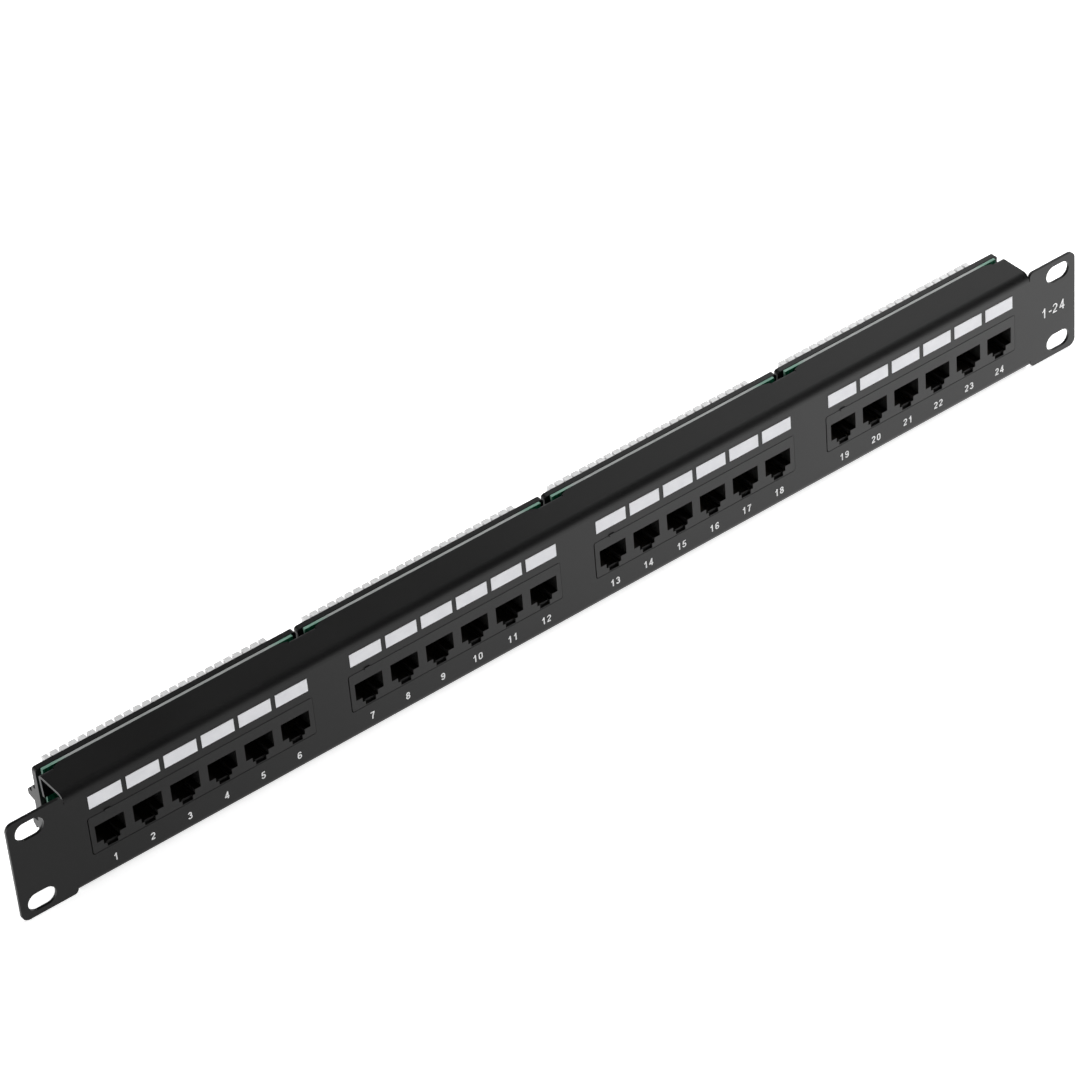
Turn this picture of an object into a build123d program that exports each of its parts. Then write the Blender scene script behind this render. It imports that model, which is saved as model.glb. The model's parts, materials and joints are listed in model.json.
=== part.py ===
from build123d import *

import os
from math import cos, radians, sin

# Rack patch panel, one rack unit high, with twenty-four sockets in four modules.
# Millimetres. X runs along the panel, Y runs from the front face to the rear, Z is up.
# The origin is the middle of the front face of the steel plate.

# Steel panel
panel_length = 482.6
panel_height = 43.66
sheet = 1.2
ear_corner_radius = 3.0
top_bend_radius = 3.4
bottom_bend_radius = 3.0
rear_bend_radius = 1.7
channel_half_length = 218.2
relief_end = 218.45
relief_corner_radius = 1.8
flange_depth = 15.6
lip_edge_y = 14.8
lip_edge_z = 12.3
tab_depth = 16.25
tab_half_base = 48.7
tab_half_tip = 45.0
tab_shoulder_y = 15.0
tab_relief = 0.3
slot_spacing_x = 465.1
slot_spacing_z = 31.75
slot_length = 11.5
slot_height = 7.5

# Modules and sockets
module_pitch = 109.2
module_count = 4
socket_pitch = 15.5
sockets_per_module = 6

# Socket block
face_half_width = 46.7
face_bottom = -9.25
face_top = 6.85
face_corner_radius = 0.8
cutout_gap = 0.25
cutout_offset = -0.15
catch_width = 2.4
catch_overlap = 0.5
catch_thickness = 0.4
catch_gap = 0.03
block_half_width = 52.4
block_top = 8.4
block_bottom = -11.9
block_depth = 14.5
cavity_depth = 13.0
opening_top = 2.25
opening_steps = ((11.9, -5.1), (6.75, -7.1), (4.4, -8.9))
tab_ledge_y = 1.2
tab_ledge_z = -7.65
chamber_width = 11.3
chamber_top = 6.4
chamber_front = 2.4
tail_slit_depth = 0.9
latch_inner = 49.4
latch_outer = 52.2
latch_gap = 0.12
latch_reach = -13.4

# Contact wires
wires_per_socket = 8
wire_pitch = 1.02
wire_width = 0.45
wire_thickness = 0.35
bend_y = 3.9
bend_z = 3.05
bend_radius = 0.45
arm_slope = 20.0
arm_length = 8.6
tail_rise = 2.54
tail_turn_y = 15.3
tail_end_y = 18.3
pin_hole_radius = 0.36

# Contact carrier
tongue_width = 10.7
tongue_front = 4.6
carrier_bottom = bend_z + bend_radius + wire_thickness / 2
carrier_top = 6.2
carrier_bar_half = 44.9

# Circuit board
board_half_width = 52.0
board_half_height = 21.65
board_front = 16.4
board_thickness = 1.2
board_rear = board_front + board_thickness

# Rear housing
rear_left = -53.85
rear_right = 54.55
rear_half_height = 21.2
rear_front = 18.4
rear_face = 20.75
rear_corner_radius = 1.2
wing_inner = 47.3
wing_slope_top = (20.75, 13.45)
wing_tip_top = (26.6, 7.6)
wing_tip_bottom = (26.4, 5.5)
wing_waist_top = (22.7, 4.75)
wing_notches = ((21.3, 1.1), (24.2, 1.35))
wing_notch_depth = 1.7
rib_half_height = 3.4
rib_height = 0.6
window_gap = 0.1
screw_x = 49.9
screw_hole_radius = 1.4
screw_recess_radius = 2.2
screw_recess_depth = 1.9
boss_radius = 3.1

# Punch-down strips
post_pitch = 3.8
post_count = 25
post_width = 2.85
end_post_width = 2.2
strip_half_width = 47.1
strip_bottom = 5.3
strip_top = 16.9
strip_base_rear = 22.0
post_rear = 28.6
post_top = 17.6
post_bottom = 5.7
post_chamfer = 1.6
post_tip = 1.0
post_point_length = 1.8
post_root_y = strip_base_rear - 0.5
blade_width = 2.6
blade_thickness = 0.5
blade_rear = 26.8
blade_slit = 0.4
blade_slit_depth = 5.0
blade_z = (strip_bottom + strip_top) / 2
pin_width = 0.6
pin_front = 15.6
blade_hole_radius = 0.48
pocket_gap = 0.06

# Screws
screw_radius = 1.25
screw_pilot_radius = 1.05
screw_tip_y = 8.5
screw_shank_y = board_front - 0.1
screw_head_radius = 2.05
screw_head_height = 1.7
screw_drive_radius = 1.2
screw_drive_width = 0.6
screw_drive_depth = 0.9

# Labels
label_width = 13.5
label_height = 5.5
label_thickness = 0.15
label_z = 13.5
strip_label_half_width = 45.6
strip_label_half_height = 2.3


def block(x, y, z):
    """A box from its (low, high) limits on each axis."""
    size = (x[1] - x[0], y[1] - y[0], z[1] - z[0])
    centre = ((x[0] + x[1]) / 2, (y[0] + y[1]) / 2, (z[0] + z[1]) / 2)
    return Pos(*centre) * Box(*size)


def along_x(outline, x0, x1):
    """A face drawn in Y and Z, made solid from x0 to x1."""
    return extrude(Plane((x0, 0, 0), x_dir=(0, 1, 0), z_dir=(1, 0, 0)) * outline, amount=x1 - x0)


def along_y(outline, y0, y1):
    """A face drawn in X and Z, made solid from y0 to y1."""
    return extrude(Plane((0, y0, 0), x_dir=(1, 0, 0), z_dir=(0, -1, 0)) * outline, amount=y0 - y1)


def rod(radius, x, z, y0, y1):
    """A cylinder along Y."""
    return along_y(Pos(x, z) * Circle(radius), y0, y1)


def mirrored_z(solid):
    return mirror(solid, about=Plane.XY)


def fused(solids):
    first, *rest = solids
    return first.fuse(*rest).clean()


def save(name, solids):
    """Write one node from its separate solids."""
    shape = solids[0] if len(solids) == 1 else Compound(children=solids)
    export_step(shape, f"parts/{name}.step")


module_x = [module_pitch * (i - (module_count - 1) / 2) for i in range(module_count)]
socket_dx = [socket_pitch * (i - (sockets_per_module - 1) / 2) for i in range(sockets_per_module)]
wire_dx = [wire_pitch * (i - (wires_per_socket - 1) / 2) for i in range(wires_per_socket)]
post_dx = [post_pitch * (i - (post_count - 1) / 2) for i in range(post_count)]
slot_dx = [post_pitch * (i - (post_count - 2) / 2) for i in range(post_count - 1)]


def rounded_polygon(corners):
    """A face from (u, v, radius) corners."""
    face = make_face(Polyline(*[(u, v) for u, v, radius in corners], close=True))
    for u, v, radius in corners:
        if radius > 0:
            corner = face.vertices().sort_by_distance((u, v, 0))[0]
            face = fillet(corner, radius)
    return face


def lip_y(z):
    """Rear face of the turned-down edge, which leans forward, at a height z or -z."""
    lean = (flange_depth - lip_edge_y) / (panel_height / 2 - lip_edge_z)
    return flange_depth - lean * (panel_height / 2 - abs(z))


def channel_outline(rear):
    """Section of the bent plate: web and two flat flanges that end at rear."""
    half = panel_height / 2
    return rounded_polygon(
        [
            (rear, half, 0),
            (0, half, top_bend_radius),
            (0, -half, bottom_bend_radius),
            (rear, -half, 0),
            (rear, sheet - half, 0),
            (sheet, sheet - half, bottom_bend_radius - sheet),
            (sheet, half - sheet, top_bend_radius - sheet),
            (rear, half - sheet, 0),
        ]
    )


def lipped_outline():
    """Section of the bent plate where the rear edges of both flanges are turned in."""
    half = panel_height / 2
    inner = half - sheet
    edge = lip_edge_z
    return rounded_polygon(
        [
            (lip_y(edge), edge, 0),
            (flange_depth, half, rear_bend_radius),
            (0, half, top_bend_radius),
            (0, -half, bottom_bend_radius),
            (flange_depth, -half, rear_bend_radius),
            (lip_y(edge), -edge, 0),
            (lip_y(edge) - sheet, -edge, 0),
            (lip_y(inner) - sheet, -inner, rear_bend_radius - sheet),
            (sheet, -inner, bottom_bend_radius - sheet),
            (sheet, inner, top_bend_radius - sheet),
            (lip_y(inner) - sheet, inner, rear_bend_radius - sheet),
            (lip_y(edge) - sheet, edge, 0),
        ]
    )


def plate_outline():
    """Front plate with the channel's bends left out between rounded relief corners."""
    half = panel_height / 2
    outline = RectangleRounded(panel_length, panel_height, ear_corner_radius)
    for side, radius in ((1, top_bend_radius), (-1, bottom_bend_radius)):
        outline -= Pos(0, side * half) * Rectangle(2 * relief_end, 2 * radius)
    inner_corners = [
        corner
        for corner in outline.vertices()
        if abs(abs(corner.X) - relief_end) < 0.01 and abs(abs(corner.Y) - half) < 0.01
    ]
    return fillet(inner_corners, relief_corner_radius)


def panel_frame():
    half = panel_height / 2
    plate = along_y(plate_outline(), 0, sheet)
    lips = along_x(lipped_outline(), -channel_half_length, channel_half_length)
    tabs = along_x(channel_outline(tab_depth), -channel_half_length, channel_half_length)
    tab_zone = make_face(
        Polyline(
            (-tab_half_base, -1),
            (tab_half_base, -1),
            (tab_half_base, tab_shoulder_y),
            (tab_half_tip, tab_depth),
            (-tab_half_tip, tab_depth),
            (-tab_half_base, tab_shoulder_y),
            close=True,
        )
    )
    lip_gap = tab_half_base + tab_relief
    middle = []
    for x in module_x:
        lips -= block((x - lip_gap, x + lip_gap), (-1, tab_depth + 1), (-half - 1, half + 1))
        zone = extrude(Pos(x, 0, -half - 1) * tab_zone, amount=panel_height + 2)
        middle.append(tabs & zone)
        bridge = channel_outline(flange_depth - rear_bend_radius)
        middle.append(along_x(bridge, x - lip_gap, x + lip_gap))
    frame = fused([plate, lips, *middle])

    cutout = RectangleRounded(
        2 * (face_half_width + cutout_gap),
        face_top - face_bottom + 2 * cutout_gap,
        face_corner_radius + cutout_gap,
    )
    slot = SlotOverall(slot_length, slot_height)
    cuts = []
    for x in module_x:
        middle_of_cutout = Pos(x + cutout_offset, (face_top + face_bottom) / 2)
        cuts.append(along_y(middle_of_cutout * cutout, -1, sheet + 1))
    for x in (-slot_spacing_x / 2, slot_spacing_x / 2):
        for z in (-slot_spacing_z / 2, slot_spacing_z / 2):
            cuts.append(along_y(Pos(x, z) * slot, -1, sheet + 1))
    return frame - cuts


def socket_block():
    """The plastic block of six sockets, centred on X = 0."""
    face = RectangleRounded(2 * face_half_width, face_top - face_bottom, face_corner_radius)
    nose = along_y(Pos(0, (face_top + face_bottom) / 2) * face, 0, sheet + 0.5)
    body = block(
        (-block_half_width, block_half_width),
        (sheet, block_depth),
        (block_bottom, block_top),
    )
    catch_x = (socket_dx[0] - catch_width / 2, socket_dx[0] + catch_width / 2)
    stem = block(catch_x, (-catch_thickness, 1), (face_top - catch_overlap, face_top))
    catch = block(
        catch_x,
        (-catch_thickness, -catch_gap),
        (face_top - catch_overlap, face_top + catch_overlap),
    )
    latch_front = lip_y(latch_reach) + latch_gap
    latch_rear = board_front - latch_gap
    latch = make_face(
        Polyline(
            (block_depth - 1, 0),
            (block_depth - 1, block_bottom),
            (latch_front, block_bottom),
            (latch_front, latch_reach),
            (latch_rear - 0.4, latch_reach),
            (latch_rear, block_bottom),
            (latch_rear, 0),
            close=True,
        )
    )
    solids = [nose, body, stem, catch]
    for x0, x1 in ((-latch_outer, -latch_inner), (latch_inner, latch_outer)):
        solids.append(along_x(latch, x0, x1))
    housing = fused(solids)

    cuts = []
    for x in socket_dx:
        step_top = opening_top
        for width, step_bottom in opening_steps:
            limits = (x - width / 2, x + width / 2)
            narrowest = width == opening_steps[-1][0]
            deep_bottom = tab_ledge_z if narrowest else step_bottom
            cuts.append(block(limits, (-1, tab_ledge_y), (step_bottom, step_top)))
            cuts.append(block(limits, (-1, cavity_depth), (deep_bottom, step_top)))
            step_top = step_bottom
        chamber = (x - chamber_width / 2, x + chamber_width / 2)
        cuts.append(block(chamber, (chamber_front, block_depth + 1), (opening_top, chamber_top)))
        slit_y = (block_depth - tail_slit_depth, block_depth + 1)
        cuts.append(block(chamber, slit_y, (0, opening_top)))
    for x in (-screw_x, screw_x):
        cuts.append(rod(screw_pilot_radius, x, 0, screw_tip_y - 1, board_front + 1))
    bar_pocket = (-carrier_bar_half - 0.2, carrier_bar_half + 0.2)
    cuts.append(block(bar_pocket, (cavity_depth, block_depth + 1), (opening_top + 0.8, chamber_top)))
    return housing - cuts


def contact_carrier():
    """The comb that holds the contact wires: six tongues on one bar."""
    solids = [
        block(
            (-carrier_bar_half, carrier_bar_half),
            (cavity_depth + 0.1, block_depth + 0.4),
            (carrier_bottom, carrier_top),
        )
    ]
    tongue = make_face(
        Polyline(
            (tongue_front, carrier_bottom),
            (cavity_depth + 1, carrier_bottom),
            (cavity_depth + 1, carrier_top),
            (tongue_front + 1.6, carrier_top),
            (tongue_front, carrier_top - 1.2),
            close=True,
        )
    )
    for x in socket_dx:
        solids.append(along_x(tongue, x - tongue_width / 2, x + tongue_width / 2))
    return fused(solids)


def spring_arm():
    """The moving length of one contact wire: the front bend and the sloping arm."""
    centre = (bend_y, bend_z)
    sweep = 180 - arm_slope
    outer = CenterArc(centre, bend_radius + wire_thickness / 2, 90, sweep)
    inner = CenterArc(centre, bend_radius - wire_thickness / 2, 90, sweep)
    run = Vector(cos(radians(arm_slope)), -sin(radians(arm_slope))) * arm_length
    lower = Line(outer @ 1, outer @ 1 + run)
    upper = Line(inner @ 1, inner @ 1 + run)
    tip = Line(lower @ 1, upper @ 1)
    end = Line(outer @ 0, inner @ 0)
    outline = make_face([outer, lower, tip, upper, inner, end])
    return along_x(outline, -wire_width / 2, wire_width / 2)


def contact_tail(drop):
    """The fixed length of one contact wire, from the front bend to its pin in the board."""
    top = bend_z + bend_radius + wire_thickness / 2
    bottom = top - wire_thickness
    if drop == 0:
        return block((-wire_width / 2, wire_width / 2), (bend_y, tail_end_y), (bottom, top))
    outline = make_face(
        Polyline(
            (bend_y, top),
            (tail_turn_y, top),
            (tail_turn_y, top - drop),
            (tail_end_y, top - drop),
            (tail_end_y, bottom - drop),
            (tail_turn_y - wire_thickness, bottom - drop),
            (tail_turn_y - wire_thickness, bottom),
            (bend_y, bottom),
            close=True,
        )
    )
    return along_x(outline, -wire_width / 2, wire_width / 2)


def circuit_board():
    solid = block(
        (-board_half_width, board_half_width),
        (board_front, board_rear),
        (-board_half_height, board_half_height),
    )
    pin_z = bend_z + bend_radius
    cuts = []
    for x in socket_dx:
        for i, dx in enumerate(wire_dx):
            z = pin_z - tail_rise * (i % 2)
            cuts.append(rod(pin_hole_radius, x + dx, z, board_front - 1, board_rear + 1))
    for x in slot_dx:
        for z in (-blade_z, blade_z):
            cuts.append(rod(blade_hole_radius, x, z, board_front - 1, board_rear + 1))
    for x in (-screw_x, screw_x):
        cuts.append(rod(screw_hole_radius, x, 0, board_front - 1, board_rear + 1))
    return solid - cuts


def wing_outline():
    """Side section of the end wings, upper half."""
    outline = make_face(
        Polyline(
            (rear_front, 0),
            (rear_front, wing_slope_top[1]),
            wing_slope_top,
            wing_tip_top,
            wing_tip_bottom,
            wing_waist_top,
            (wing_waist_top[0], 0),
            close=True,
        )
    )
    slope = (wing_tip_top[1] - wing_slope_top[1]) / (wing_tip_top[0] - wing_slope_top[0])
    for y, width in wing_notches:
        surface_z = wing_slope_top[1] + slope * (y - wing_slope_top[0])
        outline -= Pos(y, surface_z) * Rectangle(width, 2 * wing_notch_depth)
    return outline


def rear_housing():
    """The black frame behind the board, with a sloping wing at each end of the strips."""
    frame = RectangleRounded(rear_right - rear_left, 2 * rear_half_height, rear_corner_radius)
    frame = Pos((rear_left + rear_right) / 2, 0) * frame
    window_half = strip_half_width + window_gap
    window_z = (strip_bottom - window_gap, strip_top + window_gap)
    solid = along_y(frame, rear_front, rear_face)
    upper = block((-window_half, window_half), (rear_front - 1, rear_face + 1), window_z)
    solid = solid - [upper, mirrored_z(upper)]
    solids = [solid]
    for x0, x1 in ((rear_left, -wing_inner), (wing_inner, rear_right)):
        upper = along_x(wing_outline(), x0, x1)
        solids += [upper, mirrored_z(upper)]
    rib_x = (-wing_inner - 1, wing_inner + 1)
    rib_z = (-rib_half_height, rib_half_height)
    solids.append(block(rib_x, (rear_front, rear_face + rib_height), rib_z))
    for x in (-screw_x, screw_x):
        solids.append(rod(boss_radius, x, 0, board_rear, rear_face))
    housing = fused(solids)
    cuts = []
    for x in (-screw_x, screw_x):
        seat = wing_waist_top[0] - screw_recess_depth
        cuts.append(rod(screw_hole_radius, x, 0, board_rear - 1, wing_waist_top[0] + 1))
        cuts.append(rod(screw_recess_radius, x, 0, seat, wing_waist_top[0] + 1))
    return housing - cuts


def punch_post(width):
    """One post of a punch-down strip: pointed towards the rear, with a bevelled top and foot."""
    half = width / 2
    plan = make_face(
        Polyline(
            (-half, post_root_y),
            (half, post_root_y),
            (half, post_rear - post_point_length),
            (post_tip / 2, post_rear),
            (-post_tip / 2, post_rear),
            (-half, post_rear - post_point_length),
            close=True,
        )
    )
    side = make_face(
        Polyline(
            (post_root_y, post_bottom),
            (post_root_y, post_top),
            (post_rear - post_chamfer, post_top),
            (post_rear, post_top - post_chamfer),
            (post_rear, post_bottom + post_chamfer),
            (post_rear - post_chamfer, post_bottom),
            close=True,
        )
    )
    tall = extrude(Pos(0, 0, post_bottom) * plan, amount=post_top - post_bottom)
    return tall & along_x(side, -width, width)


def punch_strip():
    """The upper strip: a base bar, its posts, and a pocket for each blade."""
    base = block(
        (-strip_half_width, strip_half_width),
        (board_rear, strip_base_rear),
        (strip_bottom, strip_top),
    )
    inner_post = punch_post(post_width)
    end_post = punch_post(end_post_width)
    solids = [base]
    for x in post_dx[1:-1]:
        solids.append(Pos(x, 0, 0) * inner_post)
    for side, x in ((1, post_dx[0]), (-1, post_dx[-1])):
        solids.append(Pos(x + side * (post_width - end_post_width) / 2, 0, 0) * end_post)
    strip = fused(solids)
    half_pocket = blade_width / 2 + pocket_gap
    pocket_z = (
        blade_z - blade_thickness / 2 - pocket_gap,
        blade_z + blade_thickness / 2 + pocket_gap,
    )
    pockets = [
        block((x - half_pocket, x + half_pocket), (board_rear - 1, blade_rear + 0.4), pocket_z)
        for x in slot_dx
    ]
    return strip - pockets


def punch_blade():
    """One forked blade with its pin, for the upper strip."""
    z = (blade_z - blade_thickness / 2, blade_z + blade_thickness / 2)
    blade = block((-blade_width / 2, blade_width / 2), (board_rear, blade_rear), z)
    pin = block((-pin_width / 2, pin_width / 2), (pin_front, board_rear + 0.5), z)
    slit_y = (blade_rear - blade_slit_depth, blade_rear + 1)
    slit = block((-blade_slit / 2, blade_slit / 2), slit_y, (z[0] - 1, z[1] + 1))
    mouth = make_face(
        Polyline(
            (-blade_slit / 2, blade_rear - 0.9),
            (blade_slit / 2, blade_rear - 0.9),
            (0.8, blade_rear + 0.1),
            (-0.8, blade_rear + 0.1),
            close=True,
        )
    )
    guide = extrude(Pos(0, 0, z[0] - 1) * mouth, amount=blade_thickness + 2)
    return fused([blade, pin]) - [slit, guide]


def module_screw():
    """Self-tapping screw with a cross recess; its head faces the rear."""
    seat = wing_waist_top[0] - screw_recess_depth
    shank = rod(screw_radius, 0, 0, screw_shank_y, seat + 0.1)
    core = rod(screw_pilot_radius, 0, 0, screw_tip_y, screw_shank_y + 0.5)
    head = rod(screw_head_radius, 0, 0, seat, seat + screw_head_height)
    screw = fused([core, shank, head])
    recess_y = (seat + screw_head_height - screw_drive_depth, seat + screw_head_height + 1)
    bar = (-screw_drive_radius, screw_drive_radius)
    slot = (-screw_drive_width / 2, screw_drive_width / 2)
    return screw - [block(bar, recess_y, slot), block(slot, recess_y, bar)]


os.makedirs("parts", exist_ok=True)

save("panel_frame", [panel_frame()])

block_solid = socket_block()
carrier_solid = contact_carrier()
board_solid = circuit_board()
rear_solid = rear_housing()
strip_solid = punch_strip()
lower_strip_solid = mirrored_z(strip_solid)
blade_solid = punch_blade()
lower_blade_solid = mirrored_z(blade_solid)
arm_solid = spring_arm()
tail_solids = [contact_tail(tail_rise * (i % 2)) for i in range(wires_per_socket)]
screw_solid = module_screw()

tails = []
screws = []
labels = []
colour_strips = []
for module, x in enumerate(module_x, start=1):
    place = Pos(x, 0, 0)
    save(f"jack_housing_{module}", [place * block_solid])
    save(f"contact_carrier_{module}", [place * carrier_solid])
    save(f"circuit_board_{module}", [place * board_solid])
    save(f"rear_housing_{module}", [place * rear_solid])
    save(f"idc_strip_upper_{module}", [place * strip_solid])
    save(f"idc_strip_lower_{module}", [place * lower_strip_solid])
    blades = [Pos(x + dx, 0, 0) * blade_solid for dx in slot_dx]
    blades += [Pos(x + dx, 0, 0) * lower_blade_solid for dx in slot_dx]
    save(f"idc_blades_{module}", blades)

    for index, socket in enumerate(socket_dx):
        port = (module - 1) * sockets_per_module + index + 1
        wire_x = [x + socket + dx for dx in wire_dx]
        save(f"port_{port:02d}_contacts", [Pos(wx, 0, 0) * arm_solid for wx in wire_x])
        tails += [Pos(wx, 0, 0) * tail for wx, tail in zip(wire_x, tail_solids)]
        labels.append(
            block(
                (x + socket - label_width / 2, x + socket + label_width / 2),
                (-label_thickness, 0),
                (label_z - label_height / 2, label_z + label_height / 2),
            )
        )

    screws += [Pos(x + dx, 0, 0) * screw_solid for dx in (-screw_x, screw_x)]
    colour_strips.append(
        block(
            (x - strip_label_half_width, x + strip_label_half_width),
            (rear_face + rib_height, rear_face + rib_height + label_thickness),
            (-strip_label_half_height, strip_label_half_height),
        )
    )

save("contact_tails", tails)
save("module_screws", screws)
save("port_labels", labels)
save("idc_colour_strips", colour_strips)
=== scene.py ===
import json
from math import cos, pi, radians, sin

import bmesh
import bpy
from mathutils import Matrix, Vector


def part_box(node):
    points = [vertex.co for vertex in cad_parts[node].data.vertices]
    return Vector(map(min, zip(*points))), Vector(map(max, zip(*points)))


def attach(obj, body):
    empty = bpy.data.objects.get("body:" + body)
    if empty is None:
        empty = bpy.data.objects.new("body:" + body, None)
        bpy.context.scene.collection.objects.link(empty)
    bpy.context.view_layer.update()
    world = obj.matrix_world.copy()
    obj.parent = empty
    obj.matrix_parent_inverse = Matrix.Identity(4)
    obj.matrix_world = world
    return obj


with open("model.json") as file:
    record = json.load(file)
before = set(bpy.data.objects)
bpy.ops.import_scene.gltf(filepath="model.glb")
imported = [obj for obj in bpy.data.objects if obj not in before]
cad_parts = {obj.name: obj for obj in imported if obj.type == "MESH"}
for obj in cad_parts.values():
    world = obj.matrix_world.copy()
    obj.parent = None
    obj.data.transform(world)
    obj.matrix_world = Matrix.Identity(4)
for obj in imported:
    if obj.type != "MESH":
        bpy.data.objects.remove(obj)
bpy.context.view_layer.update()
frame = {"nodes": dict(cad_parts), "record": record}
nodes = frame["nodes"]
record = frame["record"]

MM = 0.001
PORTS = 24
MODULES = 4
MODULE_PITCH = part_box("jack_housing_2")[0].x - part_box("jack_housing_1")[0].x
ROOT = "panel"


# ---------------------------------------------------------------- shader helpers

# The Mix node names its number, vector and colour sockets alike, so the colour ones go by place.
MIX_COLOUR_A, MIX_COLOUR_B, MIX_COLOUR_RESULT = 6, 7, 2


class Shader:
    """Builds one material's node tree, one call per node."""

    def __init__(self, name):
        self.material = bpy.data.materials.new(name)
        self.material.use_nodes = True
        self.tree = self.material.node_tree
        self.tree.nodes.clear()
        self.output = self.node("ShaderNodeOutputMaterial")
        self.surface = self.node("ShaderNodeBsdfPrincipled")
        self.link(self.surface.outputs["BSDF"], self.output.inputs["Surface"])
        self.coords = self.node("ShaderNodeTexCoord")

    def node(self, kind, **settings):
        made = self.tree.nodes.new(kind)
        for key, value in settings.items():
            setattr(made, key, value)
        return made

    def link(self, source, target):
        self.tree.links.new(source, target)

    def put(self, target, value):
        """A number, a colour or another node's output goes into a socket."""
        if isinstance(value, bpy.types.NodeSocket):
            self.link(value, target)
        else:
            target.default_value = value

    def set(self, **values):
        for key, value in values.items():
            self.put(self.surface.inputs[key.replace("_", " ")], value)

    def object_coords(self, scale=(1, 1, 1)):
        mapping = self.node("ShaderNodeMapping")
        mapping.inputs["Scale"].default_value = scale
        self.link(self.coords.outputs["Object"], mapping.inputs["Vector"])
        return mapping.outputs["Vector"]

    def noise(self, scale, detail=3.0, roughness=0.55, stretch=(1, 1, 1)):
        made = self.node("ShaderNodeTexNoise")
        made.inputs["Scale"].default_value = scale
        made.inputs["Detail"].default_value = detail
        made.inputs["Roughness"].default_value = roughness
        self.link(self.object_coords(stretch), made.inputs["Vector"])
        return made.outputs["Fac"]

    def ramp(self, value, low, high, to_low=0.0, to_high=1.0):
        made = self.node("ShaderNodeMapRange")
        self.put(made.inputs["Value"], value)
        made.inputs["From Min"].default_value = low
        made.inputs["From Max"].default_value = high
        made.inputs["To Min"].default_value = to_low
        made.inputs["To Max"].default_value = to_high
        return made.outputs["Result"]

    def math(self, operation, first, second=0.0, third=0.0):
        made = self.node("ShaderNodeMath", operation=operation)
        for socket, value in zip(made.inputs, (first, second, third)):
            self.put(socket, value)
        return made.outputs["Value"]

    def mix(self, factor, first, second):
        made = self.node("ShaderNodeMix", data_type="RGBA")
        self.put(made.inputs["Factor"], factor)
        self.put(made.inputs[MIX_COLOUR_A], first)
        self.put(made.inputs[MIX_COLOUR_B], second)
        return made.outputs[MIX_COLOUR_RESULT]

    def bump(self, height, strength, distance):
        made = self.node("ShaderNodeBump")
        made.inputs["Strength"].default_value = strength
        made.inputs["Distance"].default_value = distance
        self.link(height, made.inputs["Height"])
        self.link(made.outputs["Normal"], self.surface.inputs["Normal"])

    def component(self, vector, axis):
        split = self.node("ShaderNodeSeparateXYZ")
        self.link(self.coords.outputs[vector], split.inputs["Vector"])
        return split.outputs[axis]

    def position(self, axis):
        """One component of the object-space position, in metres."""
        return self.component("Object", axis)

    def facing(self, axis):
        """One component of the object-space normal."""
        return self.component("Normal", axis)


def grey(value):
    return (value, value, value, 1.0)


# ---------------------------------------------------------------- materials

def powder_coat():
    """Black powder coat: a fine pebbled skin, with slow changes in gloss."""
    s = Shader("powder_coat")
    pebble = s.noise(2600, detail=2.0, roughness=0.5)
    grain = s.noise(7000, detail=1.0, roughness=0.4)
    patches = s.noise(18, detail=3.0)
    tone = s.mix(s.ramp(patches, 0.35, 0.65), grey(0.0072), grey(0.0095))
    speck = s.ramp(grain, 0.62, 0.8)
    s.set(
        Base_Color=s.mix(speck, tone, grey(0.014)),
        Roughness=s.ramp(patches, 0.3, 0.7, 0.44, 0.50),
    )
    s.bump(s.math("ADD", pebble, s.math("MULTIPLY", grain, 0.35)), 0.10, 0.00006)
    return s.material


def moulded_plastic(name, low, high, rough_low, rough_high, texture):
    """Moulded plastic: an even satin skin with a fine spark-eroded texture."""
    s = Shader(name)
    cloud = s.noise(45, detail=3.0)
    spark = s.noise(texture, detail=2.0, roughness=0.6)
    s.set(
        Base_Color=s.mix(s.ramp(cloud, 0.35, 0.65), grey(low), grey(high)),
        Roughness=s.ramp(spark, 0.3, 0.7, rough_low, rough_high),
    )
    s.bump(spark, 0.12, 0.00004)
    return s.material


TRACK_PITCH = 1.9 * MM
# Distances from a module's middle: where the mask starts to cover the edge, and covers it whole.
MASK_OVER_EDGE = (41 * MM, 47 * MM)


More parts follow.
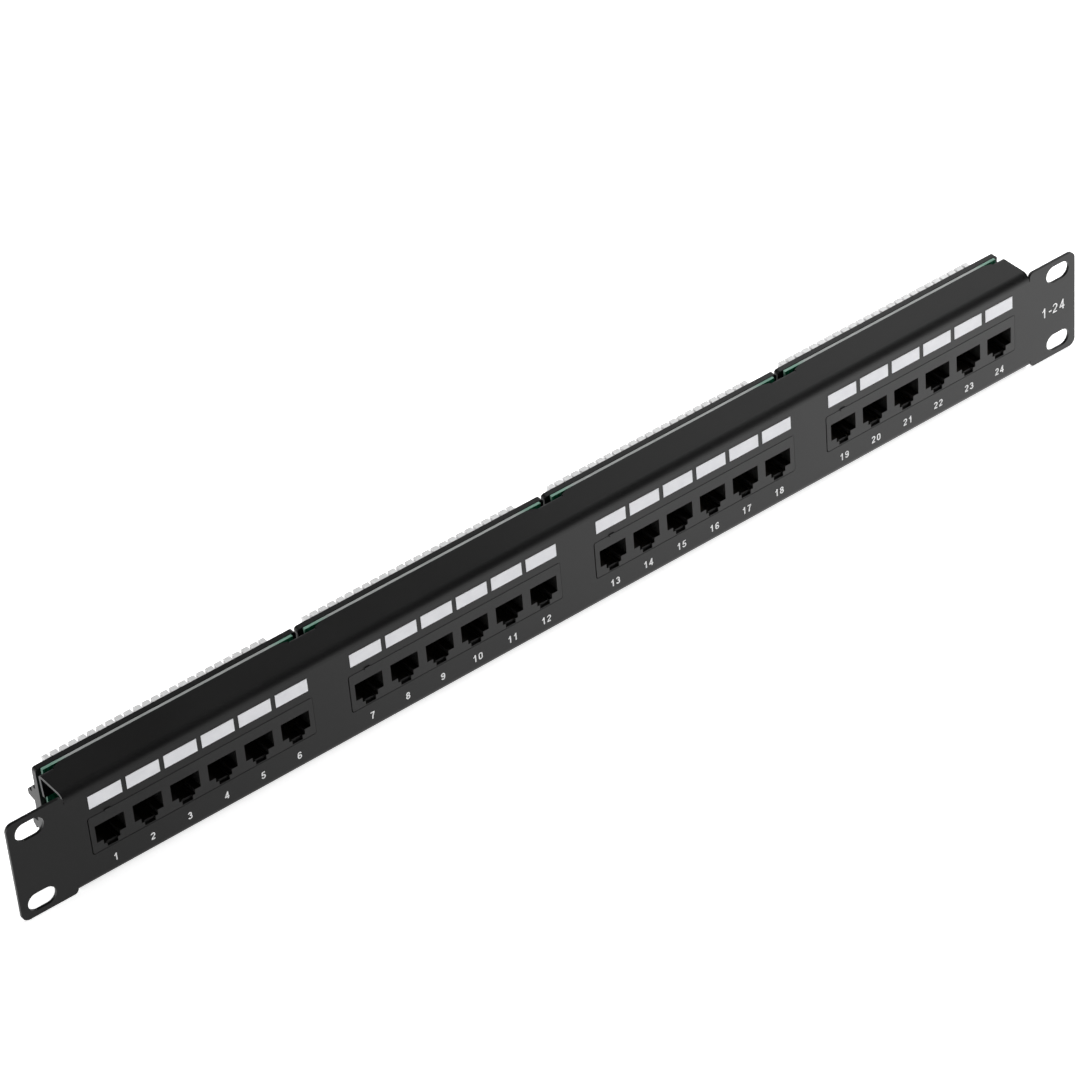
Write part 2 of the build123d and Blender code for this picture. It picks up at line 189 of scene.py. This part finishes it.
def board_laminate():
    """Green solder mask over copper tracks, with bare glass-fibre laminate on the cut edges.

    The mask runs over the edge only near the two ends of each board.
    """
    s = Shader("board_laminate")
    x = s.position("X")
    cut_edge = s.math("LESS_THAN", s.math("ABSOLUTE", s.facing("Y")), 0.5)
    wander = s.noise(60, detail=1.0)
    turns = s.math("MULTIPLY", x, 2 * pi / TRACK_PITCH)
    lanes = s.math("SINE", s.math("MULTIPLY_ADD", wander, 9.0, turns))
    tracks = s.ramp(lanes, 0.15, 0.35)
    mask = s.mix(tracks, (0.004, 0.125, 0.055, 1), (0.008, 0.19, 0.095, 1))
    fibre = s.noise(900, detail=3.0, stretch=(0.25, 1, 1))
    laminate = s.mix(s.ramp(fibre, 0.3, 0.7), (0.28, 0.29, 0.285, 1), (0.37, 0.38, 0.375, 1))
    tinted = s.mix(s.ramp(fibre, 0.3, 0.7), (0.14, 0.27, 0.21, 1), (0.21, 0.36, 0.29, 1))
    in_module = s.math("FRACT", s.math("ADD", s.math("DIVIDE", x, MODULE_PITCH), MODULES / 2))
    from_middle = s.math("ABSOLUTE", s.math("SUBTRACT", in_module, 0.5))
    mask_starts, mask_whole = (reach / MODULE_PITCH for reach in MASK_OVER_EDGE)
    near_end = s.ramp(from_middle, mask_starts, mask_whole)
    s.set(
        Base_Color=s.mix(cut_edge, mask, s.mix(near_end, laminate, tinted)),
        Roughness=s.ramp(cut_edge, 0, 1, 0.28, 0.62),
    )
    s.bump(s.math("MULTIPLY", tracks, s.math("SUBTRACT", 1.0, cut_edge)), 0.25, 0.00003)
    return s.material


def cloudy_polycarbonate():
    """Pale translucent plastic of the punch-down posts."""
    s = Shader("cloudy_polycarbonate")
    cloud = s.noise(120, detail=3.0)
    flow = s.noise(500, detail=2.0, stretch=(1, 0.2, 1))
    s.set(
        Base_Color=s.mix(s.ramp(cloud, 0.3, 0.7), grey(0.68), grey(0.78)),
        Roughness=s.ramp(flow, 0.3, 0.7, 0.28, 0.42),
        Subsurface_Weight=0.35,
        Subsurface_Radius=(1.0, 1.0, 1.0),
        Subsurface_Scale=1.2 * MM,
    )
    s.bump(flow, 0.08, 0.00004)
    return s.material


def plated_metal(name, light, dark, rough_low, rough_high, scale, stretch):
    """Plated metal with drawn or stamped lines."""
    s = Shader(name)
    lines = s.noise(scale, detail=3.0, stretch=stretch)
    tarnish = s.noise(240, detail=3.0)
    s.set(
        Base_Color=s.mix(s.ramp(tarnish, 0.35, 0.75), light, dark),
        Metallic=1.0,
        Roughness=s.ramp(lines, 0.3, 0.7, rough_low, rough_high),
    )
    s.bump(lines, 0.15, 0.00002)
    return s.material


def label_film():
    """White write-on film: matte, faintly mottled."""
    s = Shader("label_film")
    mottle = s.noise(160, detail=4.0)
    fibre = s.noise(2200, detail=2.0)
    s.set(
        Base_Color=s.mix(s.ramp(mottle, 0.3, 0.7), (0.80, 0.80, 0.83, 1), (0.86, 0.86, 0.885, 1)),
        Roughness=s.ramp(fibre, 0.3, 0.7, 0.55, 0.7),
    )
    s.bump(fibre, 0.1, 0.00003)
    return s.material


def printed_ink():
    """White screen-printed ink, slightly thin over the pebbled coat."""
    s = Shader("printed_ink")
    thin = s.noise(3200, detail=2.0)
    s.set(
        Base_Color=s.mix(s.ramp(thin, 0.25, 0.6), grey(0.80), grey(0.93)),
        Roughness=s.ramp(thin, 0.3, 0.7, 0.45, 0.6),
    )
    s.bump(thin, 0.2, 0.00003)
    return s.material


PAIR_PITCH = 7.6 * MM
# Blue, orange, green and brown, each with the place where it starts in the run of four.
PAIR_COLOURS = (
    (0.0, (0.03, 0.13, 0.52, 1)),
    (0.2, (0.85, 0.24, 0.03, 1)),
    (0.45, (0.03, 0.32, 0.10, 1)),
    (0.7, (0.17, 0.07, 0.03, 1)),
)
# Whole pairs keep the count positive along the panel, and the half centres a bar on x = 0.
PAIRS_BEFORE_MIDDLE = 100.5
BAR_HALF_WIDTH = 0.38
WHITE_LINE_HALF_HEIGHT = 0.9 * MM


def colour_code_film():
    """White film printed with bars in the four pair colours, above and below a white line."""
    s = Shader("colour_code_film")
    along = s.math("ADD", s.math("DIVIDE", s.position("X"), PAIR_PITCH), PAIRS_BEFORE_MIDDLE)
    place = s.math("FRACT", along)
    order = s.math("FRACT", s.math("DIVIDE", s.math("FLOOR", along), len(PAIR_COLOURS)))
    colours = s.node("ShaderNodeValToRGB")
    colours.color_ramp.interpolation = "CONSTANT"
    stops = colours.color_ramp.elements
    while len(stops) < len(PAIR_COLOURS):
        stops.new(1.0)
    for stop, (position, colour) in zip(stops, PAIR_COLOURS):
        stop.position = position
        stop.color = colour
    s.link(order, colours.inputs["Fac"])
    from_middle = s.math("ABSOLUTE", s.math("SUBTRACT", place, 0.5))
    bar = s.math("LESS_THAN", from_middle, BAR_HALF_WIDTH)
    off_line = s.math("GREATER_THAN", s.math("ABSOLUTE", s.position("Z")), WHITE_LINE_HALF_HEIGHT)
    ink = s.math("MULTIPLY", bar, off_line)
    paper = s.mix(s.ramp(s.noise(300), 0.3, 0.7), grey(0.74), grey(0.82))
    s.set(Base_Color=s.mix(ink, paper, colours.outputs["Color"]), Roughness=0.5)
    s.bump(s.noise(2000), 0.1, 0.00003)
    return s.material


MATERIALS = {
    "painted_steel": powder_coat(),
    "black_plastic": moulded_plastic("black_plastic_skin", 0.010, 0.014, 0.40, 0.50, 3600),
    "carrier_plastic": moulded_plastic("carrier_plastic_skin", 0.007, 0.010, 0.45, 0.6, 3000),
    "board": board_laminate(),
    "post_plastic": cloudy_polycarbonate(),
    "blade_metal": plated_metal(
        "tin_plate", (0.78, 0.77, 0.74, 1), (0.55, 0.54, 0.51, 1), 0.25, 0.42, 900, (1, 0.1, 1)
    ),
    "contact_gold": plated_metal(
        "gold_plate", (0.93, 0.70, 0.30, 1), (0.80, 0.56, 0.20, 1), 0.18, 0.32, 1500, (1, 0.1, 0.1)
    ),
    "screw_steel": plated_metal(
        "zinc_plate", (0.70, 0.71, 0.72, 1), (0.50, 0.50, 0.50, 1), 0.25, 0.4, 700, (1, 0.3, 1)
    ),
    "label_white": label_film(),
    "strip_label": colour_code_film(),
}

slot_of = {part["node"]: part["material_slot"] for part in record["subparts"]}
for name, obj in nodes.items():
    material = MATERIALS[slot_of[name]]
    if not obj.material_slots:
        obj.data.materials.append(material)
    for material_slot in obj.material_slots:
        material_slot.material = material


# ---------------------------------------------------------------- eased edges on the CAD nodes

EDGE_WIDTH = {
    "painted_steel": 0.16 * MM,
    "black_plastic": 0.14 * MM,
    "board": 0.06 * MM,
    "post_plastic": 0.18 * MM,
    "screw_steel": 0.08 * MM,
}

for name, obj in nodes.items():
    width = EDGE_WIDTH.get(slot_of[name])
    if width is None:
        continue
    bevel = obj.modifiers.new("eased_edges", "BEVEL")
    bevel.width = width
    bevel.segments = 2
    bevel.limit_method = "ANGLE"
    bevel.angle_limit = radians(40)
    bevel.use_clamp_overlap = True
    bevel.harden_normals = True


# ---------------------------------------------------------------- printed numbers

NUMBER_HEIGHT = 3.15 * MM
NUMBER_STROKE = 0.16
NUMBER_MIDDLE = -15.1 * MM
RANGE_HEIGHT = 4.5 * MM
RANGE_STROKE = 0.125
RANGE_FROM_END = 11.0 * MM
INK_THICKNESS = 0.03 * MM
# Each stroke stands a little prouder than the last, so no two faces lie in one plane.
INK_STEP = 0.002 * MM
# From one figure's left side to the next one's, as a share of the height.
DASH_ADVANCE = 0.47
DIGIT_ADVANCE = 0.79
ARC_STEP = 11
SHARPEST_MITRE = 0.5
SAME_POINT = 1e-4


def arc(cx, cy, rx, ry, start, end):
    """Points round an ellipse between two angles in degrees, counter-clockwise if end > start."""
    steps = max(3, round(abs(end - start) / ARC_STEP))
    angles = [radians(start + (end - start) * i / steps) for i in range(steps + 1)]
    return [(cx + rx * cos(a), cy + ry * sin(a)) for a in angles]


# Each figure is drawn in a box 1 high and 0.6 wide, as the middle lines of its strokes.
FIGURES = {
    "0": [arc(0.3, 0.68, 0.205, 0.225, 0, 180) + arc(0.3, 0.32, 0.205, 0.225, 180, 360)
          + [(0.505, 0.68)]],
    "1": [[(0.37, 0.0), (0.37, 1.0)], [(0.10, 0.71), (0.20, 0.725), (0.29, 0.79), (0.34, 0.94)]],
    "2": [arc(0.295, 0.69, 0.205, 0.215, 172, -28) + [(0.36, 0.44), (0.15, 0.23), (0.115, 0.095)],
          [(0.02, 0.095), (0.515, 0.095)]],
    "3": [arc(0.285, 0.705, 0.185, 0.2, 165, -62) + [(0.25, 0.52)],
          [(0.25, 0.52)] + arc(0.29, 0.305, 0.21, 0.21, 62, -168)],
    "4": [[(0.415, 0.0), (0.415, 1.0)], [(0.40, 0.90), (0.085, 0.36)],
          [(0.0, 0.285), (0.58, 0.285)]],
    "5": [[(0.13, 0.905), (0.53, 0.905)], [(0.175, 0.905), (0.125, 0.47)],
          arc(0.29, 0.325, 0.215, 0.23, 140, -165)],
    "6": [arc(0.305, 0.31, 0.205, 0.215, 0, 360),
          [(0.1, 0.31)] + arc(0.325, 0.55, 0.225, 0.355, 165, 45) + [(0.5, 0.74)]],
    "7": [[(0.02, 0.905), (0.56, 0.905)], [(0.50, 0.86), (0.36, 0.62), (0.27, 0.36), (0.235, 0.0)]],
    "8": [arc(0.3, 0.72, 0.175, 0.185, 0, 360), arc(0.3, 0.3, 0.21, 0.205, 0, 360)],
    "9": [arc(0.295, 0.69, 0.205, 0.215, 0, 360),
          [(0.5, 0.69)] + arc(0.275, 0.45, 0.225, 0.355, -15, -135) + [(0.1, 0.26)]],
    "-": [[(0.06, 0.42), (0.36, 0.42)]],
}


def ribbon_sides(points, closed, half_width):
    """The left and right edges of a stroke, mitred where its middle line turns."""
    points = [Vector(p) for p in points]
    if closed:
        points = points[:-1]
    left, right = [], []
    for i, point in enumerate(points):
        before = points[i - 1] if closed or i > 0 else None
        after = points[(i + 1) % len(points)] if closed or i < len(points) - 1 else None
        ways = [(point - before).normalized()] if before is not None else []
        ways += [(after - point).normalized()] if after is not None else []
        way = sum(ways, Vector((0, 0))).normalized()
        side = Vector((-way.y, way.x)) * half_width / max(SHARPEST_MITRE, way.dot(ways[0]))
        left.append(point + side)
        right.append(point - side)
    return left, right


INK = printed_ink()


def middle_lines(body):
    """The middle lines of all strokes of a number, one figure after the other."""
    strokes = []
    start = 0.0
    for letter in body:
        for line in FIGURES[letter]:
            strokes.append([(start + across, up) for across, up in line])
        start += DASH_ADVANCE if letter == "-" else DIGIT_ADVANCE
    return strokes


def printed_text(name, body, x, z, height, stroke):
    """Flat lettering on the front face of the plate, centred on (x, z)."""
    strokes = middle_lines(body)
    across = [point[0] for line in strokes for point in line]
    middle = (max(across) + min(across)) / 2

    mesh = bmesh.new()
    for number, line in enumerate(strokes):
        closed = (Vector(line[0]) - Vector(line[-1])).length < SAME_POINT
        left, right = ribbon_sides(line, closed, stroke / 2)
        front_y = -INK_THICKNESS - number * INK_STEP
        rings = []
        for a, b in zip(left, right):
            corners = [(a, front_y), (b, front_y), (b, 0.0), (a, 0.0)]
            rings.append([
                mesh.verts.new((x + (p.x - middle) * height, y, z + (p.y - 0.5) * height))
                for p, y in corners
            ])
        pairs = list(zip(rings, rings[1:]))
        if closed:
            pairs.append((rings[-1], rings[0]))
        for near, far in pairs:
            for k in range(4):
                mesh.faces.new((near[k], near[(k + 1) % 4], far[(k + 1) % 4], far[k]))
        if not closed:
            mesh.faces.new(rings[0][::-1])
            mesh.faces.new(rings[-1])
    bmesh.ops.recalc_face_normals(mesh, faces=mesh.faces)
    data = bpy.data.meshes.new(name)
    mesh.to_mesh(data)
    mesh.free()
    data.materials.append(INK)
    piece = bpy.data.objects.new(name, data)
    bpy.context.collection.objects.link(piece)
    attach(piece, ROOT)


def middle_of(node):
    low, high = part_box(node)
    return (low + high) / 2


for port in range(1, PORTS + 1):
    x = middle_of(f"port_{port:02d}_contacts").x
    printed_text(
        f"printed_number_{port:02d}", str(port), x, NUMBER_MIDDLE, NUMBER_HEIGHT, NUMBER_STROKE
    )

panel_low, panel_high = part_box("panel_frame")
range_middle = panel_high.x - RANGE_FROM_END
printed_text("printed_range", f"1-{PORTS}", range_middle, 0.0, RANGE_HEIGHT, RANGE_STROKE)


# ---------------------------------------------------------------- floor, light and camera

def level_sheet(name, size, height):
    half = size / 2
    mesh = bpy.data.meshes.new(name)
    mesh.from_pydata(
        [(-half, -half, 0), (half, -half, 0), (half, half, 0), (-half, half, 0)], [], [(0, 1, 2, 3)]
    )
    obj = bpy.data.objects.new(name, mesh)
    bpy.context.collection.objects.link(obj)
    obj.location.z = height
    return obj


FLOOR_SIZE = 12.0
FLOOR_GAP = 0.2 * MM
FLOOR_GLOW = 0.78

floor = level_sheet("floor", FLOOR_SIZE, panel_low.z - FLOOR_GAP)
floor.visible_glossy = False
floor_shader = Shader("pale_floor")
floor_shader.set(
    Base_Color=grey(0.80),
    Roughness=0.9,
    Emission_Color=grey(1.0),
    Emission_Strength=FLOOR_GLOW,
)
floor.data.materials.append(floor_shader.material)

# What the black parts reflect from below: a sheet that brightens to the right and the rear.
SHEEN_GAP = 4.0 * MM
SHEEN_LEFT = 0.46
SHEEN_RIGHT = 1.62
SHEEN_REAR = 1.6
SHEEN_SPAN = (-0.20, 0.26)
SHEEN_DEPTH = (0.0, 0.03)

sheen = level_sheet("floor_sheen", FLOOR_SIZE, panel_low.z - SHEEN_GAP)
sheen.visible_camera = False
sheen.visible_diffuse = False
sheen.visible_transmission = False
sheen.visible_shadow = False
sheen_shader = Shader("floor_sheen")
across = sheen_shader.ramp(sheen_shader.position("X"), *SHEEN_SPAN, SHEEN_LEFT, SHEEN_RIGHT)
rear = sheen_shader.ramp(sheen_shader.position("Y"), *SHEEN_DEPTH)
more = sheen_shader.math("SUBTRACT", SHEEN_REAR, across)
sheen_shader.set(
    Base_Color=grey(0.0),
    Specular_IOR_Level=0.0,
    Emission_Color=grey(1.0),
    Emission_Strength=sheen_shader.math("MULTIPLY_ADD", rear, more, across),
)
sheen.data.materials.append(sheen_shader.material)


def soft_light(name, place, aim, size, power, lit):
    """An area light that lights either matte colour ("diffuse") or gloss ("glossy")."""
    light = bpy.data.lights.new(name, "AREA")
    light.shape = "RECTANGLE"
    light.size, light.size_y = size
    light.energy = power
    obj = bpy.data.objects.new(name, light)
    bpy.context.collection.objects.link(obj)
    obj.location = place
    obj.rotation_euler = (Vector(aim) - Vector(place)).to_track_quat("-Z", "Y").to_euler()
    obj.visible_camera = False
    obj.visible_glossy = lit == "glossy"
    obj.visible_diffuse = lit == "diffuse"


soft_light(
    "right_softbox",
    place=(1.25, 0.15, 0.75), aim=(0.1, 0.0, 0.0), size=(1.6, 1.3), power=26, lit="diffuse",
)
soft_light(
    "left_rear_strip",
    place=(-1.3, 0.9, 0.5), aim=(-0.1, 0.0, 0.0), size=(0.9, 0.7), power=9, lit="diffuse",
)
soft_light(
    "top_softbox",
    place=(0.1, 0.3, 2.2), aim=(0.0, 0.0, 0.0), size=(1.4, 1.0), power=16, lit="diffuse",
)
soft_light(
    "top_sheen",
    place=(0.50, 0.33, 0.34), aim=(0.15, 0.0, 0.02), size=(0.45, 0.45), power=0.5, lit="glossy",
)

# A bright band low round the panel, brightest behind it, and darkness overhead.
BAND_HEIGHTS = (0.08, 0.36)
BAND_LEVELS = (1.0, 0.01)
FRONT_TO_REAR = (-0.3, 0.4)
FRONT_REAR_LEVELS = (0.45, 1.0)

world = bpy.data.worlds.new("studio")
bpy.context.scene.world = world
world.use_nodes = True
sky = world.node_tree
background = sky.nodes["Background"]
sky_coords = sky.nodes.new("ShaderNodeTexCoord")
way = sky.nodes.new("ShaderNodeSeparateXYZ")
sky.links.new(sky_coords.outputs["Generated"], way.inputs["Vector"])


def sky_ramp(source, low, high, to_low, to_high):
    made = sky.nodes.new("ShaderNodeMapRange")
    made.interpolation_type = "SMOOTHSTEP"
    made.inputs["From Min"].default_value = low
    made.inputs["From Max"].default_value = high
    made.inputs["To Min"].default_value = to_low
    made.inputs["To Max"].default_value = to_high
    sky.links.new(source, made.inputs["Value"])
    return made.outputs["Result"]


strength = sky.nodes.new("ShaderNodeMath")
strength.operation = "MULTIPLY"
by_height = sky_ramp(way.outputs["Z"], *BAND_HEIGHTS, *BAND_LEVELS)
by_depth = sky_ramp(way.outputs["Y"], *FRONT_TO_REAR, *FRONT_REAR_LEVELS)
sky.links.new(by_height, strength.inputs[0])
sky.links.new(by_depth, strength.inputs[1])
sky.links.new(strength.outputs["Value"], background.inputs["Strength"])
background.inputs["Color"].default_value = grey(1.0)

# The camera looks down on the panel from its front left, through a long lens.
AIM = Vector((-15.48, 0.0, 21.47)) * MM
DISTANCE = 1.6448
AZIMUTH = 34.376
ELEVATION = 38.656
ROLL = 5.241
LENS = 154.53

azimuth, elevation = radians(AZIMUTH), radians(ELEVATION)
look = Vector((sin(azimuth) * cos(elevation), cos(azimuth) * cos(elevation), -sin(elevation)))
camera_data = bpy.data.cameras.new("camera")
camera_data.lens = LENS
camera_data.sensor_width = 36.0
camera_data.clip_start = 0.05
camera = bpy.data.objects.new("camera", camera_data)
bpy.context.collection.objects.link(camera)
camera.matrix_world = (
    Matrix.Translation(AIM - look * DISTANCE)
    @ look.to_track_quat("-Z", "Y").to_matrix().to_4x4()
    @ Matrix.Rotation(radians(-ROLL), 4, "Z")
)
bpy.context.scene.camera = camera

bpy.context.scene.view_settings.view_transform = "Standard"
bpy.context.scene.view_settings.look = "None"
